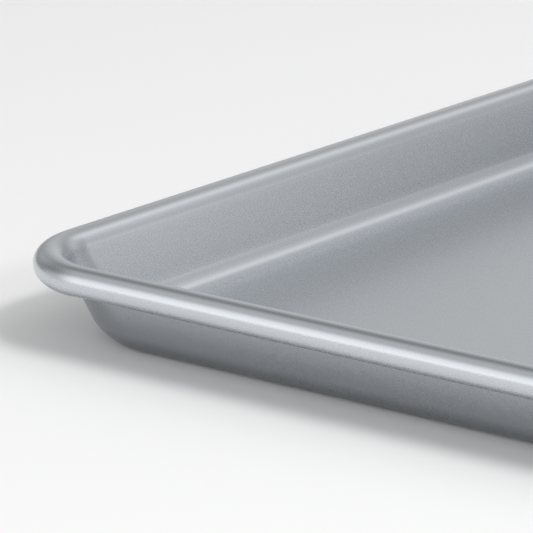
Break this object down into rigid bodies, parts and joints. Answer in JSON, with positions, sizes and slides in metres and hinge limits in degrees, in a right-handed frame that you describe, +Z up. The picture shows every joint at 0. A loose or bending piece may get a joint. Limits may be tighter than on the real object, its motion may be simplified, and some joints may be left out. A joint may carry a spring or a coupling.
{
  "type": "jelly roll pan",
  "caption": "Shallow rectangular baking pan pressed from one satin steel sheet, with leaning walls, rounded corners and a rim curled round a stiffening wire.",
  "frame": {"origin": "middle of the underside of the floor, on the surface that the pan stands on", "axes": "+X along the long side, +Y along the short side, +Z up out of the open mouth"},
  "size_m": [0.3984, 0.2714, 0.0254],
  "materials": {
    "pan_sheet": "fine-grained satin release coating on aluminised steel",
    "wire": "plain drawn steel wire"
  },
  "bodies": {
    "root": {"pan_shell": "pan_sheet", "rim_wire": "wire"}
  },
  "joints": []
}
